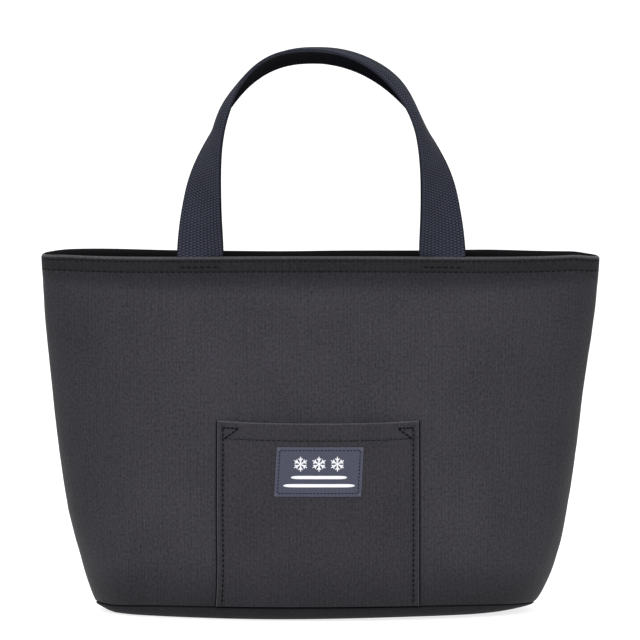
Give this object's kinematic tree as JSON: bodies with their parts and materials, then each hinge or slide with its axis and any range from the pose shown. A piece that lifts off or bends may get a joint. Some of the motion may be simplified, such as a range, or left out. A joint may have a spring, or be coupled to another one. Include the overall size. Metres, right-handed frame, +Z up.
{
  "type": "insulated cooler bag",
  "caption": "Soft insulated lunch tote with an oval base, wide flat mouth, zip closure, webbing carry handles and a front patch pocket.",
  "frame": {"origin": "centre of the footprint, on the surface the bag stands on", "axes": "+X to the right seen from the front, -Y out of the front with the pocket, +Z up"},
  "size_m": [0.3, 0.1225, 0.3055],
  "materials": {
    "charcoal_knit": "matt bonded knit",
    "base_knit": "matt bonded knit",
    "foam": "closed-cell foam sheet",
    "silver_lining": "aluminised film on fabric",
    "black_facing": "matt woven",
    "navy_webbing": "woven webbing",
    "label": "woven label",
    "zip_tape": "woven tape",
    "zip_coil": "moulded nylon",
    "dark_metal": "black nickel"
  },
  "bodies": {
    "base": {"outer_base_panel": "base_knit", "base_insulation": "foam", "base_lining": "silver_lining", "zip_end_tab_left": "zip_tape", "zip_end_tab_right": "zip_tape"},
    "front_wall": {"outer_front_panel": "charcoal_knit", "front_insulation": "foam", "front_lining": "silver_lining", "front_rim_facing": "black_facing", "front_handle_end_left": "navy_webbing", "front_handle_end_right": "navy_webbing", "front_pocket": "charcoal_knit", "front_label": "label", "zip_tape_front": "zip_tape", "zip_coil_front": "zip_coil"},
    "back_wall": {"outer_back_panel": "charcoal_knit", "back_insulation": "foam", "back_lining": "silver_lining", "back_rim_facing": "black_facing", "back_handle_end_left": "navy_webbing", "back_handle_end_right": "navy_webbing", "zip_tape_back": "zip_tape", "zip_coil_back": "zip_coil"},
    "front_handle": {"front_handle": "navy_webbing"},
    "back_handle": {"back_handle": "navy_webbing"},
    "zip_slider": {"zip_slider": "dark_metal"},
    "zip_pull": {"zip_pull": "dark_metal"}
  },
  "joints": [
    {"name": "front_wall_spread", "type": "hinge", "parent": "base", "child": "front_wall", "pos_m": [0, -0.0605, 0.00675], "axis": [1, 0, 0], "range_deg": [0, 10]},
    {"name": "back_wall_spread", "type": "hinge", "parent": "base", "child": "back_wall", "pos_m": [0, 0.0605, 0.00675], "axis": [-1, 0, 0], "range_deg": [0, 10]},
    {"name": "front_handle_fall", "type": "hinge", "parent": "front_wall", "child": "front_handle", "pos_m": [0, -0.0212, 0.1932], "axis": [1, 0, 0], "range_deg": [0, 155]},
    {"name": "back_handle_fall", "type": "hinge", "parent": "back_wall", "child": "back_handle", "pos_m": [0, 0.0212, 0.1932], "axis": [-1, 0, 0], "range_deg": [0, 155]},
    {"name": "zip_travel", "type": "slide", "parent": "base", "child": "zip_slider", "axis": [1, 0, 0], "range_m": [-0.23, 0]},
    {"name": "zip_pull_lift", "type": "hinge", "parent": "zip_slider", "child": "zip_pull", "pos_m": [0.115, 0, 0.1828], "axis": [0, 1, 0], "range_deg": [0, 150]}
  ]
}
